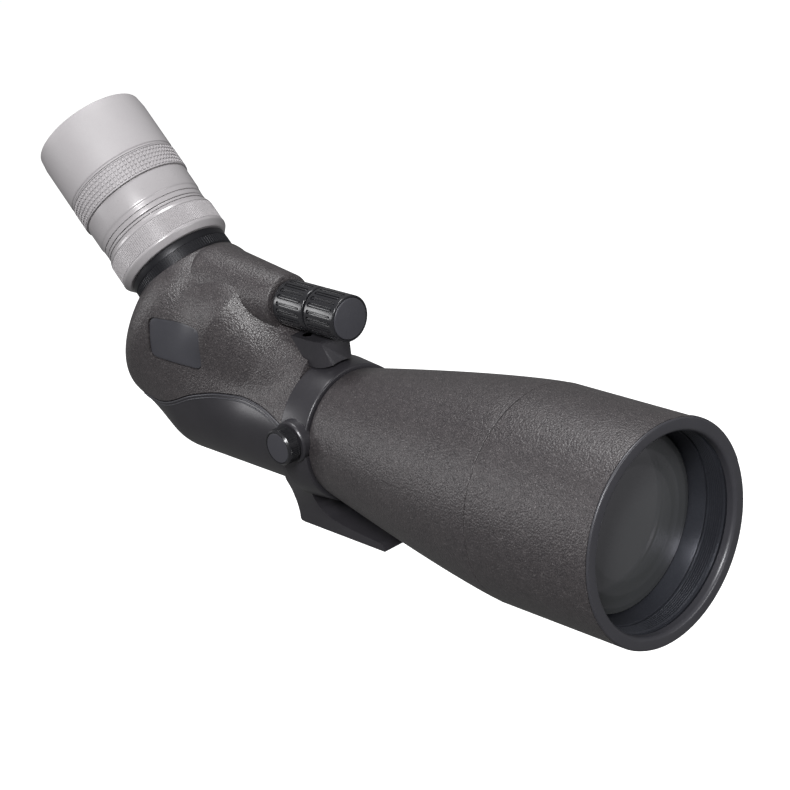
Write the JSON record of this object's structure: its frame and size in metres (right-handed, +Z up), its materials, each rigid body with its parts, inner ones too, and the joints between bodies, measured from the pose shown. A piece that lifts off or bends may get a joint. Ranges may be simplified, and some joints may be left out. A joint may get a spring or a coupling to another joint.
{
  "type": "spotting scope",
  "caption": "Angled spotting scope with sliding lens hood, two-speed focus knobs, zoom eyepiece with twist-up eyecup and a rotating tripod collar with foot.",
  "frame": {"origin": "centre of the tripod foot's seating face, between the threaded insert and the pin hole", "axes": "+X along the optical axis towards the objective, +Z up out of the foot, so the clamp knob is on the -Y side"},
  "size_m": [0.3625, 0.093, 0.1803],
  "materials": {
    "pebbled_armour": "fine pebbled charcoal coating, semi-matt",
    "satin_paint": "smooth satin charcoal paint",
    "black_anodised": "black anodised, satin",
    "black_rubber": "matt black rubber",
    "pale_shell": "pale warm grey satin shell",
    "pale_rubber": "pale warm grey rubber",
    "glass": "coated optical glass",
    "steel": "turned steel",
    "brass": "turned brass"
  },
  "bodies": {
    "collar": {"tripod_collar": "satin_paint", "collar_liner": "black_rubber", "foot_insert": "brass"},
    "scope_body": {"main_tube": "pebbled_armour", "hood_stop_ring": "black_anodised", "tube_seal": "black_rubber", "tube_baffle": "black_anodised", "objective_cell": "black_anodised", "front_lens": "glass", "lens_spacer": "black_anodised", "rear_lens": "glass", "retaining_ring": "black_anodised", "housing_shell": "pebbled_armour", "belly_cover": "satin_paint", "belly_screw_1": "steel", "belly_screw_2": "steel", "name_plate": "satin_paint", "focus_pedestal": "satin_paint", "pedestal_screw_1": "steel", "pedestal_screw_2": "steel", "focus_bush": "brass", "guide_rod_left": "steel", "guide_rod_right": "steel", "prism_carrier": "black_anodised", "prism_strap": "steel", "erecting_prism": "glass", "exit_prism": "glass", "port_ring": "black_anodised"},
    "hood": {"lens_hood": "pebbled_armour", "hood_friction_ring": "black_rubber"},
    "focus_carriage": {"focus_cell": "black_anodised", "focus_lens": "glass"},
    "coarse_drive": {"coarse_focus_knob": "black_rubber", "focus_shaft": "steel"},
    "fine_drive": {"fine_focus_knob": "black_rubber", "fine_knob_cap": "satin_paint", "fine_spindle": "steel"},
    "clamp_slide": {"clamp_shoe": "black_rubber"},
    "clamp_handle": {"clamp_knob": "black_rubber", "clamp_knob_cap": "satin_paint"},
    "eyepiece": {"eyepiece_barrel": "pale_shell", "port_seal": "black_rubber", "field_lens": "glass", "field_stop": "black_anodised", "eye_lens": "glass", "eye_lens_cell": "black_anodised"},
    "zoom_collar": {"zoom_ring": "pale_shell", "zoom_grip": "pale_rubber"},
    "zoom_carriage": {"zoom_cell": "black_anodised", "zoom_lens": "glass", "zoom_pin": "steel"},
    "eyecup_turn": {"eyecup_guide": "black_anodised"},
    "eyecup_slide": {"eyecup": "pale_rubber"}
  },
  "joints": [
    {"name": "collar_turn", "type": "hinge", "parent": "collar", "child": "scope_body", "pos_m": [0, 0, 0.0462], "axis": [1, 0, 0], "range_deg": [-65, 28]},
    {"name": "hood_slide", "type": "slide", "parent": "scope_body", "child": "hood", "axis": [1, 0, 0], "range_m": [0, 0.036]},
    {"name": "coarse_focus", "type": "hinge", "parent": "scope_body", "child": "coarse_drive", "pos_m": [0, 0, 0.1005], "axis": [1, 0, 0], "range_deg": [0, 540]},
    {"name": "focus_slide", "type": "slide", "parent": "scope_body", "child": "focus_carriage", "axis": [1, 0, 0], "range_m": [-0.0001, 0.0052]},
    {"name": "fine_focus", "type": "hinge", "parent": "coarse_drive", "child": "fine_drive", "pos_m": [0, 0, 0.1005], "axis": [1, 0, 0], "continuous": true},
    {"name": "clamp_shoe_slide", "type": "slide", "parent": "collar", "child": "clamp_slide", "axis": [0, -1, 0], "range_m": [-0.0001, 0.0011]},
    {"name": "clamp_turn", "type": "hinge", "parent": "clamp_slide", "child": "clamp_handle", "pos_m": [-0.0055, 0, 0.0517], "axis": [0, -1, 0], "range_deg": [0, 360]},
    {"name": "eyepiece_release", "type": "slide", "parent": "scope_body", "child": "eyepiece", "axis": [-0.7071, 0, 0.7071], "range_m": [0, 0.03]},
    {"name": "zoom_turn", "type": "hinge", "parent": "eyepiece", "child": "zoom_collar", "pos_m": [-0.0507, 0, 0.0462], "axis": [-0.7071, 0, 0.7071], "range_deg": [0, 120]},
    {"name": "zoom_slide", "type": "slide", "parent": "eyepiece", "child": "zoom_carriage", "axis": [-0.7071, 0, 0.7071], "range_m": [-0.0001, 0.0081]},
    {"name": "eyecup_twist", "type": "hinge", "parent": "eyepiece", "child": "eyecup_turn", "pos_m": [-0.0507, 0, 0.0462], "axis": [-0.7071, 0, 0.7071], "range_deg": [0, 120]},
    {"name": "eyecup_rise", "type": "slide", "parent": "eyecup_turn", "child": "eyecup_slide", "axis": [-0.7071, 0, 0.7071], "range_m": [-0.0001, 0.0091]}
  ],
  "couplings": [
    {"joint": "focus_slide", "follows": "coarse_focus", "m_per_rad": 0.00053052},
    {"joint": "clamp_shoe_slide", "follows": "clamp_turn", "m_per_rad": 0.00015915},
    {"joint": "zoom_slide", "follows": "zoom_turn", "m_per_rad": 0.0038197},
    {"joint": "eyecup_rise", "follows": "eyecup_twist", "m_per_rad": 0.0042972}
  ]
}
